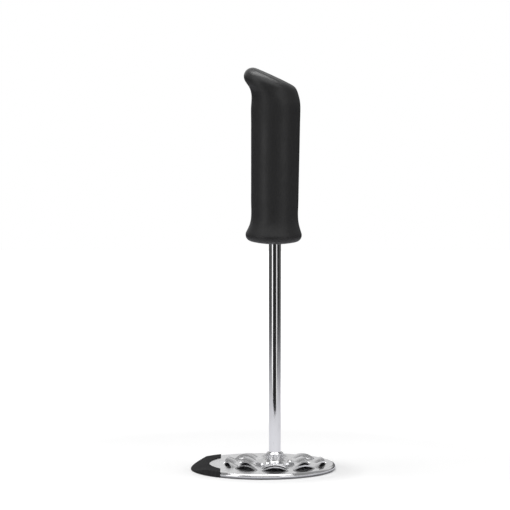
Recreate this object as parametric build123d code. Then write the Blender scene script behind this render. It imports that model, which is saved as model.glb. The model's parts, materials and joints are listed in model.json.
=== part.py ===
from build123d import *
import os
from math import acos, atan2, cos, hypot, pi, radians, sin, sqrt, tan

# Hand-held potato ricer: a round cutter plate on a steel shaft, with a soft upright grip.
# The plate's outline is centred on the origin and stands on z = 0. The scraping nose
# points along -X, the shaft rises along +Z. All sizes are in millimetres.

# Ricing plate
PLATE_RADIUS = 48.7
SHEET = 0.9
RIM_RADIUS = 1.85          # outside of the rolled rim's section
RIM_FLAT = 0.2             # planished off the rim's underside
RIM_OPENING = 110          # degrees of the roll left open, on its inner side
SHAFT_OFFSET = 7.8         # the shaft stands behind the plate's centre

# Cutters: a raised scoop over an opening, its mouth facing away from the shaft
MOUTH_WIDTH = 15.0
MOUTH_HEIGHT = 2.0
SCOOP_DEPTH = 5.0
CUTTER_GAP = 2.8           # flat sheet between cutters, and from them to the rim
FOOT_GAP = 1.5             # flat sheet between the cutters and the foot

# Scraper
SCRAPER_HALF_ANGLE = 54    # degrees to each side of the nose
SCRAPER_LIP = 0.4          # thickness at the scraping edge
SCRAPER_COVER = 0.5        # silicone over the plate
SCRAPER_WIDTH = 12.5       # from the nose's tip to the inner edge
SCRAPER_SLOPE = 10.4       # from the nose's tip back to the crest
SCRAPER_ROUNDING = 0.35
TONGUE_MARGIN = 5.2        # silicone beyond the sides of the plate's bare tongue
TONGUE_SETBACK = 0.6       # from the crest back to the tongue's front
ANCHOR_RADIUS = 1.2
ANCHOR_EDGE = 1.4          # steel left round the anchors

# Foot
FLANGE_THICKNESS = 1.6
FLANGE_NECK_WALL = 1.8
FLANGE_HEIGHT = 8.0
FLANGE_FILLET = 1.5
FLANGE_EDGE = 1.0          # flange left beyond the rivet heads
RIVET_COUNT = 3
RIVET_RADIUS = 1.25
RIVET_HEAD_RADIUS = 2.1
RIVET_HEAD_HEIGHT = 0.9
RIVET_CLEARANCE = 0.5      # from the neck's fillet to the rivet heads

# Shaft
SHAFT_RADIUS = 4.0
SHAFT_IN_SIGHT = 148.5     # from the plate to the handle
SHAFT_BELOW_THUMB = 27.7   # from the shaft's top to the thumb slope
SHAFT_CHAMFER = 0.5
PIN_RADIUS = 1.5
PIN_BELOW_TOP = 24.0       # from the shaft's top to the pin
PIN_RECESS = 0.3           # pin ends below the core's sides

# Handle, measured from the shaft's axis: front is towards the nose
THUMB_HEIGHT = 111.7       # from the handle's foot to the thumb slope, along the shaft's axis
THUMB_SLOPE = 25.0         # degrees, falling to the back
THUMB_ROUNDING = 5.8
GRIP_FRONT = 16.0
GRIP_BACK_LOW = 15.5
GRIP_BACK_HIGH = 17.0
GRIP_HALF_DEPTH = 14.6
THUMB_NARROWING = 0.8
FLARE_SPREAD_FRONT = 5.6
FLARE_SPREAD_BACK = 3.4
FLARE_SPREAD_SIDE = 3.4
FLARE_HEIGHT = 18.0
FOOT_ROUNDING = 4.4
FOOT_DOME = 3.5            # fall of the handle's underside from its front edge to the shaft
LIP_SPREAD = 5.0
LIP_DROP = 20.0            # height over which the front swells into the lip
BACK_DRAW = 3.4
BACK_DROP = 14.0           # height over which the back draws in
GRIP_WALL = 2.8
GRIP_FLOOR = 3.6
CORE_SETBACK = 1.6         # from the thumb slope's back corner to the core's back
CORE_FLAT = 0.6            # half of the flat left between the core's round corners
CORE_WALL = 2.2
CORE_FLOOR = 4.0
CORE_ROUNDING = 2.4
CAP_THICKNESS = 2.6
SOCKET_WALL = 2.6
SOCKET_END = 3.0
RIB = 1.8

# Stations of the handle's loft
FLARE_STATIONS = 4
WAIST_STATIONS = 8
LIP_STATIONS = 5
LIP_FULL = 0.55            # share of the lip's drop at which it reaches its full width
TIP_SHARE = 0.92           # most that the thumb slope's rounding takes of the oval's radius at its tip

# Heights that follow
PLATE_TOP = 2 * RIM_RADIUS - RIM_FLAT
PLATE_UNDERSIDE = PLATE_TOP - SHEET
HANDLE_FOOT = PLATE_TOP + SHAFT_IN_SIGHT
SHAFT_TOP = HANDLE_FOOT + THUMB_HEIGHT - SHAFT_BELOW_THUMB
PIN_LEVEL = SHAFT_TOP - PIN_BELOW_TOP

# Foot sizes that follow, each round the shaft's axis
FLANGE_NECK_RADIUS = SHAFT_RADIUS + FLANGE_NECK_WALL
RIVET_CIRCLE = FLANGE_NECK_RADIUS + FLANGE_FILLET + RIVET_CLEARANCE + RIVET_HEAD_RADIUS
FLANGE_RADIUS = RIVET_CIRCLE + RIVET_HEAD_RADIUS + FLANGE_EDGE

# Hood sizes that follow: part of a ball that is sunk below the plate and stands ahead of the mouth
BALL_AHEAD = ((MOUTH_WIDTH / 2) ** 2 / SCOOP_DEPTH - SCOOP_DEPTH) / 2
BALL_SINK = ((MOUTH_WIDTH / 2) ** 2 - MOUTH_HEIGHT**2) / (2 * MOUTH_HEIGHT)
BALL_RADIUS = hypot(BALL_AHEAD + SCOOP_DEPTH, BALL_SINK)
HOOD_RADIUS = BALL_RADIUS + SHEET
HOOD_REACH = sqrt(HOOD_RADIUS**2 - BALL_SINK**2) - BALL_AHEAD
HOOD_HALF_WIDTH = sqrt(HOOD_RADIUS**2 - BALL_SINK**2 - BALL_AHEAD**2)

# Scraper sizes that follow
SCRAPER_END = PLATE_RADIUS * cos(radians(SCRAPER_HALF_ANGLE))
SCRAPER_REACH = PLATE_RADIUS + SHAFT_OFFSET - SCRAPER_WIDTH
TONGUE_RADIUS = PLATE_RADIUS - TONGUE_MARGIN
TONGUE_FRONT = PLATE_RADIUS - SCRAPER_SLOPE - TONGUE_SETBACK
ANCHOR_CIRCLE = TONGUE_RADIUS - ANCHOR_EDGE - ANCHOR_RADIUS

# Handle sizes that follow
LIP_REACH = GRIP_FRONT + LIP_SPREAD
BACK_CORNER = GRIP_BACK_HIGH - BACK_DRAW
THUMB_HALF_LENGTH = (LIP_REACH + BACK_CORNER) / 2 / cos(radians(THUMB_SLOPE))
THUMB_TIP_RADIUS = (GRIP_HALF_DEPTH - THUMB_NARROWING) ** 2 / THUMB_HALF_LENGTH
THUMB_EDGE = min(THUMB_ROUNDING, TIP_SHARE * THUMB_TIP_RADIUS * tan(radians(45 - THUMB_SLOPE / 2)))
FOOT_REACH = GRIP_FRONT + FLARE_SPREAD_FRONT
DOME_RADIUS = (FOOT_REACH**2 / FOOT_DOME + FOOT_DOME) / 2

SHAFT_AXIS = Pos(SHAFT_OFFSET, 0, 0)
UPRIGHT = (Align.CENTER, Align.CENTER, Align.MIN)


def rod(radius, bottom, top):
    """Upright cylinder between two heights."""
    return Pos(0, 0, bottom) * Cylinder(radius, top - bottom, align=UPRIGHT)


def circles(solid, radius):
    """Round edges of one radius, from the lowest up."""
    edges = solid.edges().filter_by(GeomType.CIRCLE)
    return edges.filter_by(lambda edge: abs(edge.radius - radius) < 0.01).sort_by(Axis.Z)


def nose_zone(start, height):
    """Everything in front of a line across the nose, up to a height."""
    width = 2 * PLATE_RADIUS
    block = Box(width, 2 * width, 2 * height, align=(Align.MAX, Align.CENTER, Align.CENTER))
    return Pos(-start, 0, 0) * block


def anchor_studs():
    """Round holes of the plate's tongue, which the silicone fills."""
    front = acos((TONGUE_FRONT - ANCHOR_EDGE - ANCHOR_RADIUS) / ANCHOR_CIRCLE)
    back = acos((SCRAPER_END + ANCHOR_EDGE + ANCHOR_RADIUS) / ANCHOR_CIRCLE)
    stud = rod(ANCHOR_RADIUS, PLATE_UNDERSIDE, PLATE_TOP)
    return [
        Pos(-ANCHOR_CIRCLE * cos(angle), ANCHOR_CIRCLE * sin(angle), 0) * stud
        for angle in (front, back, -front, -back)
    ]


def tongue():
    """Flat sheet left bare at the nose, for the silicone to close round."""
    sheet = rod(TONGUE_RADIUS, PLATE_UNDERSIDE, PLATE_TOP) - nose_zone(TONGUE_FRONT, 2 * PLATE_TOP)
    return sheet - anchor_studs()


def rivet_places():
    """Axes of the rivets round the shaft."""
    return [SHAFT_AXIS * place for place in PolarLocations(RIVET_CIRCLE, RIVET_COUNT)]


def rolled_disc():
    """Flat sheet with its edge rolled down and in."""
    roll_place = Pos(PLATE_RADIUS - RIM_RADIUS, PLATE_TOP - RIM_RADIUS)
    far = 2 * RIM_RADIUS
    opening = Polygon(
        (0, 0), (0, far), (-far, far), (-far, -far * tan(radians(RIM_OPENING - 90))), align=None
    )
    roll = roll_place * (Circle(RIM_RADIUS) - Circle(RIM_RADIUS - SHEET) - opening)
    roll -= Rectangle(PLATE_RADIUS, RIM_RADIUS, align=(Align.MIN, Align.MAX))
    flat = Pos(0, PLATE_UNDERSIDE) * Rectangle(PLATE_RADIUS - RIM_RADIUS, SHEET, align=Align.MIN)
    return revolve(Plane.XZ * (roll + flat), Axis.Z)


def cutter_rings():
    """Distance of the mouths from the shaft's axis and their count, for each ring from the rim in."""
    rings = []
    corner = PLATE_RADIUS - SHAFT_OFFSET - 2 * RIM_RADIUS - CUTTER_GAP
    mouth = sqrt(corner**2 - HOOD_HALF_WIDTH**2)
    while mouth - HOOD_REACH > FLANGE_RADIUS + FOOT_GAP:
        width = 2 * atan2(HOOD_HALF_WIDTH, mouth) + CUTTER_GAP / corner
        rings.append((mouth, int(2 * pi / width)))
        corner = mouth - HOOD_REACH - CUTTER_GAP
        mouth = sqrt(max(corner**2 - HOOD_HALF_WIDTH**2, 0))
    return rings


def scoop(ring_radius, angle):
    """One cutter: its raised hood and the opening under it."""
    mouth = SHAFT_AXIS * Rot(0, 0, angle) * Pos(ring_radius, 0, PLATE_TOP)
    centre = mouth * Pos(BALL_AHEAD, 0, -BALL_SINK)
    height = HOOD_RADIUS - BALL_SINK
    behind = Box(HOOD_REACH, 2 * MOUTH_WIDTH, height + SHEET / 2, align=(Align.MAX, Align.CENTER, Align.MIN))
    below = Box(HOOD_REACH, 2 * MOUTH_WIDTH, 2 * height, align=(Align.MAX, Align.CENTER, Align.CENTER))
    ball = centre * Sphere(BALL_RADIUS)
    hood = centre * Sphere(HOOD_RADIUS) & mouth * Pos(0, 0, -SHEET / 2) * behind
    return hood - ball, ball & mouth * below


def ricing_plate():
    """Stamped plate with its rolled rim, two rings of cutters and a bare tongue for the scraper."""
    plate = rolled_disc()
    plate -= nose_zone(SCRAPER_END, PLATE_TOP) - tongue()
    plate -= [place * rod(RIVET_RADIUS, 0, PLATE_TOP) for place in rivet_places()]
    cutters = [
        scoop(radius, 180 + (step + 0.5) * 360 / count)
        for radius, count in cutter_rings()
        for step in range(count)
    ]
    plate -= [opening for hood, opening in cutters]
    return plate + [hood for hood, opening in cutters]


def scraper():
    """Silicone crescent moulded over the plate's tongue, cut to a flat chisel slope at the nose."""
    crest = PLATE_TOP + SCRAPER_COVER
    body = rod(PLATE_RADIUS, 0, crest) & nose_zone(SCRAPER_END, 2 * crest)
    body -= SHAFT_AXIS * rod(SCRAPER_REACH, -crest, 2 * crest)
    tip = -PLATE_RADIUS
    heel = tip + SCRAPER_SLOPE
    above = Polygon((tip, SCRAPER_LIP), (heel, crest), (heel, 2 * crest), (tip, 2 * crest), align=None)
    body -= extrude(Plane.XZ * above, PLATE_RADIUS, both=True)
    tops = body.edges().filter_by(lambda edge: edge.bounding_box().min.Z > SCRAPER_LIP / 2)
    return fillet(tops, SCRAPER_ROUNDING) - tongue()


def foot_flange():
    """Turned foot that spreads the shaft's load over the plate."""
    flange = rod(FLANGE_RADIUS, PLATE_TOP, PLATE_TOP + FLANGE_THICKNESS)
    flange += rod(FLANGE_NECK_RADIUS, PLATE_TOP, PLATE_TOP + FLANGE_HEIGHT)
    flange -= rod(SHAFT_RADIUS, 0, HANDLE_FOOT)
    flange = fillet(circles(flange, FLANGE_NECK_RADIUS)[0], FLANGE_FILLET)
    flange = chamfer(circles(flange, FLANGE_NECK_RADIUS)[-1], FLANGE_NECK_WALL / 2)
    flange = SHAFT_AXIS * flange
    return flange - [place * rod(RIVET_RADIUS, 0, HANDLE_FOOT) for place in rivet_places()]


def flange_rivets():
    """Domed rivets through the flange and the plate, closed under the plate."""
    upper = PLATE_TOP + FLANGE_THICKNESS
    dome_radius = (RIVET_HEAD_RADIUS**2 + RIVET_HEAD_HEIGHT**2) / (2 * RIVET_HEAD_HEIGHT)
    sink = dome_radius - RIVET_HEAD_HEIGHT
    dome = Sphere(dome_radius) & rod(RIVET_HEAD_RADIUS, sink, dome_radius)
    rivet = rod(RIVET_RADIUS, PLATE_UNDERSIDE, upper)
    rivet += Pos(0, 0, upper - sink) * dome
    rivet += Pos(0, 0, PLATE_UNDERSIDE + sink) * Rot(180, 0, 0) * dome
    return Compound(children=[place * rivet for place in rivet_places()])


def shaft():
    """Polished rod from the plate up into the handle's socket."""
    bar = rod(SHAFT_RADIUS, PLATE_TOP, SHAFT_TOP)
    bar = chamfer(bar.edges().filter_by(GeomType.CIRCLE), SHAFT_CHAMFER)
    return SHAFT_AXIS * bar - pin_bar(2 * SHAFT_RADIUS)


def pin_bar(half_length):
    """Round bar across the shaft, along Y."""
    return SHAFT_AXIS * Pos(0, 0, PIN_LEVEL) * Rot(90, 0, 0) * Cylinder(PIN_RADIUS, 2 * half_length)


def shaft_pin():
    """Cross pin that locks the shaft into the core."""
    return pin_bar(GRIP_HALF_DEPTH - GRIP_WALL - PIN_RECESS)


def ease(share):
    """Smooth step from 0 to 1."""
    return (1 - cos(pi * min(share, 1))) / 2


def blend(start, end, share):
    """Value part of the way from one to another."""
    return start + (end - start) * share


def handle_stations():
    """Front point, back point and half depth of each section of the handle, from its foot up."""
    stations = []
    for step in range(FLARE_STATIONS + 1):
        share = step / FLARE_STATIONS
        level = HANDLE_FOOT + FLARE_HEIGHT * share
        spread = 1 - ease(share)
        front = GRIP_FRONT + FLARE_SPREAD_FRONT * spread
        back = GRIP_BACK_LOW + FLARE_SPREAD_BACK * spread
        stations.append((-front, level, back, level, GRIP_HALF_DEPTH + FLARE_SPREAD_SIDE * spread))
    rise = tan(radians(THUMB_SLOPE))
    front_top = HANDLE_FOOT + THUMB_HEIGHT + LIP_REACH * rise
    back_top = HANDLE_FOOT + THUMB_HEIGHT - BACK_CORNER * rise
    neck = stations[-1]
    shoulder = (-GRIP_FRONT, front_top - LIP_DROP, GRIP_BACK_HIGH, back_top - BACK_DROP, GRIP_HALF_DEPTH)
    for step in range(1, WAIST_STATIONS + 1):
        share = step / (WAIST_STATIONS + 1)
        stations.append(tuple(blend(low, high, share) for low, high in zip(neck, shoulder)))
    for step in range(LIP_STATIONS + 1):
        share = step / LIP_STATIONS
        front = blend(GRIP_FRONT, LIP_REACH, ease(share / LIP_FULL))
        back = blend(GRIP_BACK_HIGH, BACK_CORNER, share**2)
        front_level = front_top - LIP_DROP * (1 - share)
        back_level = back_top - BACK_DROP * (1 - share)
        half_depth = GRIP_HALF_DEPTH - THUMB_NARROWING * share
        stations.append((-front, front_level, back, back_level, half_depth))
    return stations


def handle_section(station):
    """Oval across one station, between its front and back points, with its seam at the back."""
    front, front_level, back, back_level, half_depth = station
    across = Vector(back - front, 0, back_level - front_level)
    middle = ((front + back) / 2, 0, (front_level + back_level) / 2)
    plane = Plane(origin=middle, x_dir=across, z_dir=across.cross(Vector(0, 1, 0)))
    outline = Edge.make_ellipse(across.length / 2, half_depth, start_angle=0, end_angle=360)
    return plane * make_face(outline)


def thumb_plane(below):
    """Slope of the thumb rest, lowered by a thickness."""
    slope = Plane.XY.rotated((0, THUMB_SLOPE, 0))
    point = Vector(0, 0, HANDLE_FOOT + THUMB_HEIGHT) - slope.z_dir * below
    return Plane(origin=point, x_dir=slope.x_dir, z_dir=slope.z_dir)


def core_column(inset, floor, roof):
    """Oval column inside the grip, from a floor up to the thumb slope."""
    front = GRIP_FRONT - GRIP_WALL - inset
    back = BACK_CORNER - CORE_SETBACK - inset
    width = front + back
    depth = 2 * (GRIP_HALF_DEPTH - GRIP_WALL - inset)
    oval = Pos((back - front) / 2, 0) * RectangleRounded(width, depth, min(width, depth) / 2 - CORE_FLAT)
    column = extrude(Plane.XY.offset(HANDLE_FOOT + floor) * oval, 2 * THUMB_HEIGHT)
    return split(column, thumb_plane(roof), Keep.BOTTOM)


def core_outside():
    """Closed outer form of the core with its cap on."""
    column = core_column(0, GRIP_FLOOR, GRIP_WALL)
    return fillet(column.faces().sort_by(Axis.Z)[-1].edges(), CORE_ROUNDING)


def foot_trim():
    """What lies under the domed underside of the handle."""
    slab = rod(2 * FOOT_REACH, HANDLE_FOOT - FOOT_DOME, HANDLE_FOOT + 2 * FOOT_DOME)
    return slab - Pos(0, 0, HANDLE_FOOT + DOME_RADIUS) * Rot(90, 0, 0) * Sphere(DOME_RADIUS)


def grip():
    """Soft moulding round the whole core, sealed on the shaft."""
    form = loft([handle_section(station) for station in handle_stations()])
    form = form - rod(SHAFT_RADIUS, HANDLE_FOOT, SHAFT_TOP) - foot_trim()
    form = fillet(form.faces().sort_by(Axis.Z)[-1].edges(), THUMB_EDGE)
    form = fillet(form.faces().sort_by(Axis.Z)[0].outer_wire().edges(), FOOT_ROUNDING)
    return SHAFT_AXIS * (form - core_outside())


def handle_core():
    """Rigid moulding inside the grip, cored out round a ribbed socket and open at its top."""
    roof = GRIP_WALL + CAP_THICKNESS
    body = split(core_outside(), thumb_plane(roof), Keep.BOTTOM)
    hollow = core_column(CORE_WALL, GRIP_FLOOR + CORE_FLOOR, roof)
    socket_top = SHAFT_TOP + SOCKET_END
    socket = rod(SHAFT_RADIUS + SOCKET_WALL, HANDLE_FOOT, socket_top)
    rib = Pos(0, 0, HANDLE_FOOT) * Box(2 * GRIP_FRONT, RIB, socket_top - HANDLE_FOOT, align=UPRIGHT)
    filling = socket + Rot(0, 0, 45) * rib + Rot(0, 0, -45) * rib
    core = body - (hollow - filling) - rod(SHAFT_RADIUS, HANDLE_FOOT, SHAFT_TOP)
    return SHAFT_AXIS * core - pin_bar(GRIP_HALF_DEPTH)


def core_cap():
    """Lid that closes the core under the thumb slope."""
    return SHAFT_AXIS * split(core_outside(), thumb_plane(GRIP_WALL + CAP_THICKNESS), Keep.TOP)


PIECES = (
    ricing_plate, scraper, foot_flange, flange_rivets, shaft, shaft_pin, handle_core, core_cap, grip
)

os.makedirs("parts", exist_ok=True)
for piece in PIECES:
    export_step(piece(), f"parts/{piece.__name__}.step")
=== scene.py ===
import json
from math import cos, pi, radians, sin

import bmesh
import bpy
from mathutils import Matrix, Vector


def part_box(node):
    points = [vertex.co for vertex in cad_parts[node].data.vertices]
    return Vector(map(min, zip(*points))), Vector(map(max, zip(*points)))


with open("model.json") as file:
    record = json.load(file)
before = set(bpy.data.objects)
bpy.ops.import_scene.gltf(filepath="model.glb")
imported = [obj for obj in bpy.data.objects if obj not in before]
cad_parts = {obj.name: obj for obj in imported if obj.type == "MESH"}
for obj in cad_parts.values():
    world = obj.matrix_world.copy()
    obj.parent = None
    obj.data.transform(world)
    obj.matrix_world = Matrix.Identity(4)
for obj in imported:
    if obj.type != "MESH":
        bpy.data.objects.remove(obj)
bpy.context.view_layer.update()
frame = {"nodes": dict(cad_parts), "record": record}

# Looks of a hand-held potato ricer: polished steel plate and shaft, silicone scraper, soft black grip.
# Lengths are in metres, apart from the patterns, which are set out in millimetres.

MM = 0.001
BLACK = (0, 0, 0)
WHITE = (1, 1, 1)

# Camera
IMAGE_SIDE = 510               # pixels
FOCAL_PIXELS = 4506
SENSOR_WIDTH = 36              # mm
CAMERA_DISTANCE = 3.0
CAMERA_HEIGHT = 0.463
CAMERA_ASIDE = -0.00554
CAMERA_PITCH = 6.06            # degrees below level

# Places on the ricer, in millimetres
PLATE_RADIUS = -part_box("scraper")[0].x / MM
SHAFT_OFFSET = sum(corner.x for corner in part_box("shaft")) / 2 / MM
GRIP_FOOT, GRIP_TOP = (corner.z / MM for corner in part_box("grip"))
RIM_WIDTH = 3.7                # the plate's rolled rim
HELD_UP = 50                   # from the grip's foot to the middle of its held length
HELD_MIDDLE = GRIP_FOOT + HELD_UP
HELD_HALF = 38
HELD_FADE = 14
THUMB_FALL = 20                # from the grip's top to the foot of the thumb slope
THUMB_LOW = GRIP_TOP - THUMB_FALL


class Socket:
    """An output of one node tree, with arithmetic that adds Math nodes."""

    def __init__(self, tree, output):
        self.tree = tree
        self.output = output

    def maths(self, operation, *values):
        return self.tree.node("ShaderNodeMath", {"operation": operation}, dict(enumerate(values)))

    def __add__(self, other):
        return self.maths("ADD", self, other)

    def __sub__(self, other):
        return self.maths("SUBTRACT", self, other)

    def __rsub__(self, other):
        return self.maths("SUBTRACT", other, self)

    def __mul__(self, other):
        return self.maths("MULTIPLY", self, other)

    def __truediv__(self, other):
        return self.maths("DIVIDE", self, other)

    def __rtruediv__(self, other):
        return self.maths("DIVIDE", other, self)

    def __pow__(self, other):
        return self.maths("POWER", self, other)

    def __abs__(self):
        return self.maths("ABSOLUTE", self)

    __radd__ = __add__
    __rmul__ = __mul__


class Tree:
    """A node tree that starts empty, with a short call for each kind of step in a pattern."""

    def __init__(self, owner):
        owner.use_nodes = True
        self.nodes = owner.node_tree.nodes
        self.links = owner.node_tree.links
        self.nodes.clear()

    def node(self, kind, settings=None, sockets=None, output=0):
        """Adds a node: its settings first, then its sockets' values or links. Gives one or more outputs."""
        made = self.nodes.new(kind)
        for name, value in (settings or {}).items():
            setattr(made, name, value)
        for name, value in (sockets or {}).items():
            if isinstance(value, Socket):
                self.links.new(value.output, made.inputs[name])
            else:
                made.inputs[name].default_value = value
        if isinstance(output, tuple):
            return [Socket(self, made.outputs[name]) for name in output]
        return Socket(self, made.outputs[output]) if made.outputs else None

    def place(self, offset=(0, 0, 0), stretch=(1, 1, 1)):
        """Object coordinates in millimetres, moved and stretched."""
        point = self.node("ShaderNodeTexCoord", output="Object")
        scale = tuple(along / MM for along in stretch)
        shift = tuple(-side * along for side, along in zip(offset, stretch))
        return self.node("ShaderNodeMapping", None, {"Vector": point, "Location": shift, "Scale": scale})

    def parts(self, vector):
        """The three components of a vector."""
        return self.node("ShaderNodeSeparateXYZ", None, {"Vector": vector}, ("X", "Y", "Z"))

    def joined(self, x, y, z=0):
        """A vector from its components."""
        return self.node("ShaderNodeCombineXYZ", None, {"X": x, "Y": y, "Z": z})

    def from_axis(self, vector):
        """Distance from the upright axis, and height."""
        x, y, z = self.parts(vector)
        return (x * x + y * y) ** 0.5, z

    def noise(self, vector, scale, detail=2.0, roughness=0.5):
        """Cloudy pattern around 0.5, with its scale in features per unit of the vector."""
        sockets = {"Vector": vector, "Scale": scale, "Detail": detail, "Roughness": roughness}
        return self.node("ShaderNodeTexNoise", None, sockets)

    def step(self, value, low, high):
        """Smooth step from 0 at low to 1 at high."""
        sockets = {"Value": value, "From Min": low, "From Max": high}
        return self.node("ShaderNodeMapRange", {"interpolation_type": "SMOOTHSTEP"}, sockets)

    def band(self, value, middle, half_width, softness):
        """1 within a band and 0 outside it."""
        return 1 - self.step(abs(value - middle), half_width - softness, half_width + softness)

    def colour(self, factor, first, second):
        """Colour between two colours."""
        ends = [end if isinstance(end, Socket) else (*end, 1) for end in (first, second)]
        sockets = {0: factor, 6: ends[0], 7: ends[1]}
        return self.node("ShaderNodeMix", {"data_type": "RGBA"}, sockets, output=2)

    def bump(self, height):
        """Normal from a height in millimetres."""
        return self.node("ShaderNodeBump", None, {"Height": height, "Strength": 1.0, "Distance": MM})

    def surface(self, sockets):
        """Closes a material with its Principled shader."""
        shader = self.node("ShaderNodeBsdfPrincipled", None, sockets)
        self.node("ShaderNodeOutputMaterial", None, {"Surface": shader})


def finish(name):
    """A new material whose tree is ready for its pattern."""
    material = bpy.data.materials.new(name)
    return material, Tree(material)


# Soft grip
GRIP_BLACK = (0.0145, 0.0145, 0.0151)
GRIP_RUBBED = (0.0212, 0.0212, 0.0219)
GRIP_IOR = 1.44
LINT_GREY = (0.1, 0.1, 0.1)
LINT_COVER = 0.12
POLISH_FADE = 8                # mm, up the foot of the thumb slope
SHINE_LOW = 8                  # mm above the thumb slope's foot
SHINE_HIGH = 18
SHINE_COAT = 0.5
SHINE_ROUGHNESS = 0.36
GRAIN_DEPTH = 0.035            # mm
PIT_DEPTH = 0.02
PEEL_DEPTH = 0.02
MOULD_LINE_HEIGHT = 0.05
MOULD_LINE_HALF = 0.13
MOULD_LINE_SOFTNESS = 0.09


def soft_grip():
    """Black soft-touch moulding: spark grain, a faint mould line, polish from handling and a little lint."""
    material, tree = finish("soft_grip")
    point = tree.place()
    _, y, z = tree.parts(point)
    grain = tree.noise(point, scale=2.4, detail=3.0, roughness=0.65)
    pits = tree.node("ShaderNodeTexVoronoi", None, {"Vector": point, "Scale": 1.5})
    peel = tree.noise(point, scale=0.6)
    smudge = tree.noise(point, scale=0.055, detail=4.0, roughness=0.6)
    lint = tree.step(tree.noise(point, scale=1.1, detail=1.0), low=0.75, high=0.8)
    mould_line = tree.band(y, 0, MOULD_LINE_HALF, MOULD_LINE_SOFTNESS)
    thumb = tree.step(z, THUMB_LOW, THUMB_LOW + POLISH_FADE)
    held = tree.band(z, HELD_MIDDLE, HELD_HALF, HELD_FADE) + thumb
    polish = tree.step(smudge + 0.12 * held, low=0.46, high=0.74)
    shine = tree.step(z, THUMB_LOW + SHINE_LOW, THUMB_LOW + SHINE_HIGH)
    base = tree.colour(polish * 0.7 + grain * 0.3, GRIP_BLACK, GRIP_RUBBED)
    height = grain * GRAIN_DEPTH + pits * PIT_DEPTH + peel * PEEL_DEPTH + mould_line * MOULD_LINE_HEIGHT
    tree.surface(
        {
            "Base Color": tree.colour(lint * LINT_COVER, base, LINT_GREY),
            "Roughness": 0.44 - 0.09 * polish + 0.1 * grain,
            "IOR": GRIP_IOR,
            "Coat Weight": SHINE_COAT * shine,
            "Coat Roughness": SHINE_ROUGHNESS,
            "Normal": tree.bump(height),
        }
    )
    return material


# Silicone
SILICONE_BLACK = (0.02, 0.02, 0.021)
SILICONE_FILM = (0.029, 0.029, 0.03)
SILICONE_RUBBED = (0.05, 0.05, 0.051)
SILICONE_IOR = 1.41
SILICONE_SPECULAR = 0.05
RUBBED_INNER = 1.6             # mm in from the scraping edge
RUBBED_OUTER = 0.2
SKIN_DEPTH = 0.035             # mm
SCUFF_DEPTH = 0.02


def silicone():
    """Satin black silicone: fine skin, cloudy film, and a rubbed scraping edge."""
    material, tree = finish("silicone")
    point = tree.place()
    out, _ = tree.from_axis(point)
    skin = tree.noise(point, scale=1.8, detail=3.0, roughness=0.6)
    cloud = tree.step(tree.noise(point, scale=0.12, detail=3.0), low=0.35, high=0.7)
    smears = tree.noise(tree.place(stretch=(1, 1, 0.3)), scale=0.7, detail=3.0, roughness=0.6)
    scuffs = tree.step(smears, low=0.45, high=0.7)
    edge = tree.step(out, PLATE_RADIUS - RUBBED_INNER, PLATE_RADIUS - RUBBED_OUTER)
    base = tree.colour(cloud * 0.7 + skin * 0.3, SILICONE_BLACK, SILICONE_FILM)
    tree.surface(
        {
            "Base Color": tree.colour(edge * (0.35 + 0.4 * scuffs), base, SILICONE_RUBBED),
            "Roughness": 0.6 + 0.12 * cloud + 0.1 * skin,
            "IOR": SILICONE_IOR,
            "Specular IOR Level": SILICONE_SPECULAR,
            "Normal": tree.bump(skin * SKIN_DEPTH + edge * scuffs * SCUFF_DEPTH),
        }
    )
    return material


# Stainless steel, each bright and dull
POLISHED_STEEL = (0.77, 0.77, 0.78)
SHAFT_DULL = (0.7, 0.7, 0.71)
PLATE_DULL = (0.67, 0.67, 0.68)
FOOT_BRIGHT = (0.72, 0.72, 0.73)
FOOT_DULL = (0.6, 0.6, 0.61)
RIVET_BRIGHT = (0.74, 0.74, 0.75)
RIVET_DULL = (0.64, 0.64, 0.65)
PIN_BRIGHT = (0.66, 0.66, 0.67)
PIN_DULL = (0.55, 0.55, 0.56)

# Depths of the marks in steel, in millimetres
SHAFT_LINE_DEPTH = 0.0012
SHAFT_RUB_DEPTH = 0.0015
PLATE_LINE_DEPTH = 0.004
HAIRLINE_DEPTH = 0.003
RING_DEPTH = 0.008
DENT_DEPTH = 0.02

HAIRLINE_STRETCH = 0.035
PLATE_HAIRLINES = (20, 74, 131)  # degrees about the upright axis
FOOT_HAIRLINES = 48
RIM_FADE_INNER = 1.0           # mm, from the flat to the rim
RIM_FADE_OUTER = 0.5


def hairlines(tree, degrees):
    """Short hairline scratches at a turn about the upright axis, from 0 to 1."""
    x, y, z = tree.parts(tree.place())
    turn = radians(degrees)
    across = x * cos(turn) + y * sin(turn)
    along = y * cos(turn) - x * sin(turn)
    lines = tree.noise(tree.joined(across, along * HAIRLINE_STRETCH, z), scale=2.2, detail=1.0)
    return tree.step(lines, low=0.66, high=0.71)


def steel(material, tree, base, rough, height):
    """Closes a stainless steel finish."""
    tree.surface({"Base Color": base, "Metallic": 1.0, "Roughness": rough, "Normal": tree.bump(height)})
    return material


def shaft_steel():
    """Mirror-polished rod with fine lines along it and a few handling marks."""
    material, tree = finish("shaft_steel")
    lines = tree.noise(tree.place(stretch=(1, 1, 0.01)), scale=5.0)
    smears = tree.noise(tree.place(stretch=(1, 1, 0.4)), scale=0.16, detail=4.0, roughness=0.6)
    marks = tree.step(smears, low=0.5, high=0.72)
    streaks = tree.noise(tree.place(stretch=(1, 1, 0.06)), scale=1.6, detail=1.0)
    rubs = tree.step(streaks, low=0.68, high=0.72)
    base = tree.colour(marks * 0.6 + lines * 0.4, POLISHED_STEEL, SHAFT_DULL)
    rough = 0.045 + 0.03 * lines + 0.06 * marks + 0.1 * rubs
    return steel(material, tree, base, rough, lines * SHAFT_LINE_DEPTH + rubs * SHAFT_RUB_DEPTH)


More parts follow.
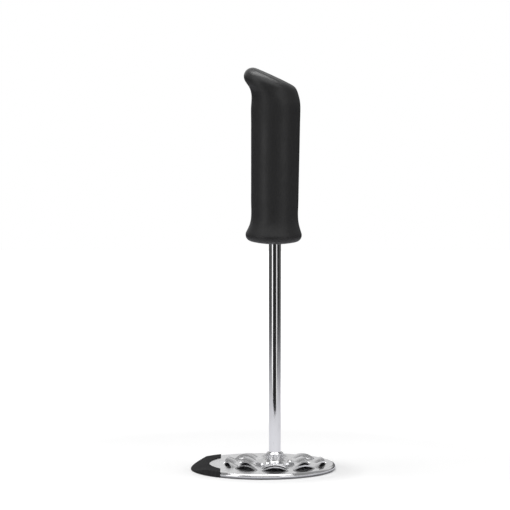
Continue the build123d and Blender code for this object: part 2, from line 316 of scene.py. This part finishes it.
def plate_steel():
    """Stamped sheet: mirror-bright rim, lines polished round the flat, hairlines and a dried film."""
    material, tree = finish("plate_steel")
    point = tree.place()
    out, z = tree.from_axis(point)
    rim_inside = PLATE_RADIUS - RIM_WIDTH
    flat = 1 - tree.step(out, rim_inside - RIM_FADE_INNER, rim_inside + RIM_FADE_OUTER)
    lines = tree.noise(tree.joined(out, z), scale=4.0, detail=3.0, roughness=0.6)
    film = tree.step(tree.noise(point, scale=0.11, detail=4.0, roughness=0.6), low=0.45, high=0.72)
    hairs = sum(hairlines(tree, degrees) for degrees in PLATE_HAIRLINES)
    base = tree.colour(film * 0.5 + lines * 0.5, POLISHED_STEEL, PLATE_DULL)
    rough = 0.07 + flat * (0.07 + 0.1 * lines) + 0.07 * film + 0.1 * hairs
    return steel(material, tree, base, rough, flat * (lines * PLATE_LINE_DEPTH + hairs * HAIRLINE_DEPTH))


def foot_steel():
    """Turned steel with fine rings round the shaft."""
    material, tree = finish("foot_steel")
    out, z = tree.from_axis(tree.place((SHAFT_OFFSET, 0, 0)))
    rings = tree.noise(tree.joined(out, z), scale=5.0, detail=3.0, roughness=0.6)
    cloud = tree.noise(tree.place(), scale=0.2, detail=3.0)
    base = tree.colour(cloud * 0.5 + rings * 0.5, FOOT_BRIGHT, FOOT_DULL)
    rough = 0.14 + 0.16 * rings + 0.05 * cloud + 0.1 * hairlines(tree, FOOT_HAIRLINES)
    return steel(material, tree, base, rough, rings * RING_DEPTH)


def struck_steel(name, bright, dull):
    """Headed steel with small dents and rubbed spots."""
    material, tree = finish(name)
    point = tree.place()
    dents = tree.noise(point, scale=1.4)
    rub = tree.step(tree.noise(point, scale=0.5, detail=3.0, roughness=0.6), low=0.4, high=0.7)
    base = tree.colour(rub, bright, dull)
    rough = 0.16 + 0.12 * rub + 0.05 * dents
    return steel(material, tree, base, rough, dents * DENT_DEPTH)


# Plastic inside the grip
CORE_DARK = (0.04, 0.04, 0.042)
CORE_LIGHT = (0.062, 0.062, 0.064)
CORE_GRAIN_DEPTH = 0.02        # mm


def core_plastic():
    """Plain moulded plastic with flow marks."""
    material, tree = finish("core_plastic")
    flow = tree.noise(tree.place(stretch=(1, 1, 0.2)), scale=0.2, detail=4.0, roughness=0.6)
    grain = tree.noise(tree.place(), scale=2.0)
    tree.surface(
        {
            "Base Color": tree.colour(flow, CORE_DARK, CORE_LIGHT),
            "Roughness": 0.5 + 0.12 * grain,
            "Normal": tree.bump(grain * CORE_GRAIN_DEPTH),
        }
    )
    return material


FINISHES = {
    "soft_grip": soft_grip(),
    "silicone": silicone(),
    "shaft_steel": shaft_steel(),
    "plate_steel": plate_steel(),
    "foot_steel": foot_steel(),
    "rivet_steel": struck_steel("rivet_steel", RIVET_BRIGHT, RIVET_DULL),
    "pin_steel": struck_steel("pin_steel", PIN_BRIGHT, PIN_DULL),
    "core_plastic": core_plastic(),
}

for subpart in frame["record"]["subparts"]:
    for material_slot in frame["nodes"][subpart["node"]].material_slots:
        material_slot.material = FINISHES[subpart["material_slot"]]


# Studio: a white table top, an overhead softbox, a fill above the camera and two upright strip lights

# Table
TABLE_HALF_WIDTH = 0.9
TABLE_HALF_DEPTH = 0.835
TABLE_MIDDLE = 0.565
TABLE_GAP = 0.0002             # keeps the table's face off the plate's foot
TABLE_WHITE = (0.8, 0.8, 0.8)
TABLE_REFLECTED = (0.96, 0.96, 1.0)
TABLE_ROUGHNESS = 0.9
TABLE_GLOW = 0.29              # seen by the camera only
GLOW_NEAR = 160                # mm from the plate's centre, where the table starts to go pure white
GLOW_FAR = 360
PAINTED_SHADOW_GLOW = 0.16              # painted shadow: the table's lower glow next to the plate
PAINTED_SHADOW_MIDDLE = (7, -7, 0)      # mm, middle of the painted shadow
PAINTED_SHADOW_NEAR = 44                # mm from the painted shadow's middle, where it starts to fade
PAINTED_SHADOW_FAR = 69
PAINTED_CONTACT_SHADOW = 0.42            # painted contact shadow: share of the table's white that a reflection shows at the plate's edge
PAINTED_CONTACT_WIDTH = 8              # mm, out from that edge
PAINTED_POOL_RADIUS = 520              # mm, painted pool of light: where a reflection shows the table half as bright
PAINTED_POOL_EDGE = 3.0

# Room, as brightness in reflections
ROOM_DARK = 0.025
SIDE_GLEAM = 0.1
WALL = 0.3
BACK_WALL = 0.45               # added behind the ricer
CEILING = 0.3
AMBIENT = 0.14                 # on what is neither shiny nor seen directly
FLAG_SHADE = 0.85              # taken off the back wall by a dark flag
FLAG_MIDDLE = 0.4              # along X, as a direction
FLAG_HALF = 0.36
FLAG_SOFTNESS = 0.04

# Directions in the room, in degrees
BACK_TURN = (118, 150)         # from the camera's side
SIDE_TURN = 96
SIDE_HALF = 10
SIDE_SOFTNESS = 6
HORIZON_RISE = (-2, 4)
FLAG_RISE = (10, 20)
CEILING_RISE = (22, 55)

# Strip lights
STRIP_DISTANCE = 0.95
STRIP_MIDDLE = 0.3
STRIP_HEIGHT = 1.3


def sight_lines(tree):
    """1 for what the camera sees, and 1 for what a reflection or a clear piece shows."""
    rays = ("Is Camera Ray", "Is Glossy Ray", "Is Transmission Ray")
    seen, glossy, clear = tree.node("ShaderNodeLightPath", output=rays)
    return seen, glossy.maths("MAXIMUM", glossy, clear)


def table_white_painted_shadow():
    """White with a painted shadow next to the plate and no glow under it, pure white further out;
    reflections show a painted pool of light and contact shadow.
    """
    material, tree = finish("table_white_painted_shadow")
    out, _ = tree.from_axis(tree.place())
    away = tree.step(out, GLOW_NEAR, GLOW_FAR)
    # Painted shadow: the table's glow is lowered next to the plate, a little to the right of and in front of
    # its middle.
    painted_shadow_out, _ = tree.from_axis(tree.place(PAINTED_SHADOW_MIDDLE))
    out_of_painted_shadow = tree.step(painted_shadow_out, PAINTED_SHADOW_NEAR, PAINTED_SHADOW_FAR)
    # Painted shade under the plate: the table has none of its glow there.
    out_of_painted_underside_shade = tree.step(out, PLATE_RADIUS - RIM_WIDTH, PLATE_RADIUS)
    glow_with_painted_shadow = (PAINTED_SHADOW_GLOW + (TABLE_GLOW - PAINTED_SHADOW_GLOW) * out_of_painted_shadow + (1 - TABLE_GLOW) * away) * out_of_painted_underside_shade
    # Painted contact shadow: reflections show the table darker in a ring at the plate's edge.
    out_of_painted_contact_shadow = tree.step(out, PLATE_RADIUS, PLATE_RADIUS + PAINTED_CONTACT_WIDTH)
    # Painted pool of light: reflections show the table fading out with distance from the plate.
    painted_light_pool = (PAINTED_CONTACT_SHADOW + (1 - PAINTED_CONTACT_SHADOW) * out_of_painted_contact_shadow) / (1 + (out / PAINTED_POOL_RADIUS) ** PAINTED_POOL_EDGE)
    seen, reflected = sight_lines(tree)
    tree.surface(
        {
            "Base Color": tree.colour(reflected, TABLE_WHITE, tree.colour(painted_light_pool, BLACK, TABLE_REFLECTED)),
            "Roughness": TABLE_ROUGHNESS,
            "Specular IOR Level": 0.0,
            "Emission Color": tree.colour(glow_with_painted_shadow * seen, BLACK, WHITE),
            "Emission Strength": 1.0,
        }
    )
    return material


def table_top():
    """Flat table under the ricer."""
    shape = bmesh.new()
    bmesh.ops.create_grid(shape, x_segments=1, y_segments=1, size=1)
    bmesh.ops.scale(shape, vec=(TABLE_HALF_WIDTH, TABLE_HALF_DEPTH, 1), verts=shape.verts)
    bmesh.ops.translate(shape, vec=(0, TABLE_MIDDLE, -TABLE_GAP), verts=shape.verts)
    mesh = bpy.data.meshes.new("table_top")
    shape.to_mesh(mesh)
    shape.free()
    mesh.materials.append(table_white_painted_shadow())
    table = bpy.data.objects.new("table_top", mesh)
    bpy.context.collection.objects.link(table)


def studio_world():
    """White background, with a dim room in front of it for reflections."""
    world = bpy.data.worlds.new("studio")
    bpy.context.scene.world = world
    tree = Tree(world)
    x, y, z = tree.parts(tree.node("ShaderNodeTexCoord", output="Generated"))
    turn = abs(x.maths("ARCTAN2", x, 0 - y)) * (180 / pi)
    rise = z.maths("ARCSINE", z) * (180 / pi)
    back = tree.step(turn, *BACK_TURN)
    side = tree.band(turn, SIDE_TURN, SIDE_HALF, SIDE_SOFTNESS)
    above = tree.step(rise, *HORIZON_RISE)
    flag = tree.band(x, FLAG_MIDDLE, FLAG_HALF, FLAG_SOFTNESS) * back * (1 - tree.step(rise, *FLAG_RISE))
    walls = (WALL + BACK_WALL * back) * above * (1 - FLAG_SHADE * flag)
    room = ROOM_DARK + SIDE_GLEAM * side + walls
    room = room + (CEILING - room) * tree.step(rise, *CEILING_RISE)
    seen, reflected = sight_lines(tree)
    level = AMBIENT + (room - AMBIENT) * reflected + (1 - AMBIENT) * seen
    background = tree.node("ShaderNodeBackground", None, {"Color": tree.colour(level, BLACK, WHITE)})
    tree.node("ShaderNodeOutputWorld", None, {"Surface": background})


def softbox(name, place, target, width, height, radiance):
    """Rectangular light that shines from a place to a target."""
    lamp = bpy.data.lights.new(name, "AREA")
    lamp.shape = "RECTANGLE"
    lamp.size = width
    lamp.size_y = height
    lamp.energy = radiance * pi * width * height
    light = bpy.data.objects.new(name, lamp)
    light.location = place
    light.rotation_euler = (Vector(target) - Vector(place)).to_track_quat("-Z", "Y").to_euler()
    light.visible_camera = False
    bpy.context.collection.objects.link(light)


def strip(name, degrees, width, radiance):
    """Upright strip light at a turn from the camera's direction."""
    turn = radians(degrees)
    place = (STRIP_DISTANCE * sin(turn), -STRIP_DISTANCE * cos(turn), STRIP_MIDDLE)
    softbox(name, place, (0, 0, STRIP_MIDDLE), width, STRIP_HEIGHT, radiance)


def camera():
    """Camera at the photograph's viewing angle."""
    lens = bpy.data.cameras.new("camera")
    lens.sensor_width = SENSOR_WIDTH
    lens.lens = SENSOR_WIDTH * FOCAL_PIXELS / IMAGE_SIDE
    eye = bpy.data.objects.new("camera", lens)
    eye.location = (CAMERA_ASIDE, -CAMERA_DISTANCE, CAMERA_HEIGHT)
    eye.rotation_euler = (radians(90 - CAMERA_PITCH), 0, 0)
    bpy.context.collection.objects.link(eye)
    bpy.context.scene.camera = eye


bpy.context.scene.view_settings.view_transform = "Standard"
camera()
table_top()
studio_world()
softbox("overhead", place=(-0.02, 0, 1.12), target=(0.1, 0, 0.15), width=0.42, height=1.1, radiance=6.0)
softbox("front_fill", place=(0.1, -0.8, 1.0), target=(0, 0, 0.2), width=1.0, height=0.5, radiance=2.0)
strip("left_strip", degrees=-50, width=0.34, radiance=1.4)
strip("right_strip", degrees=38, width=0.38, radiance=0.95)
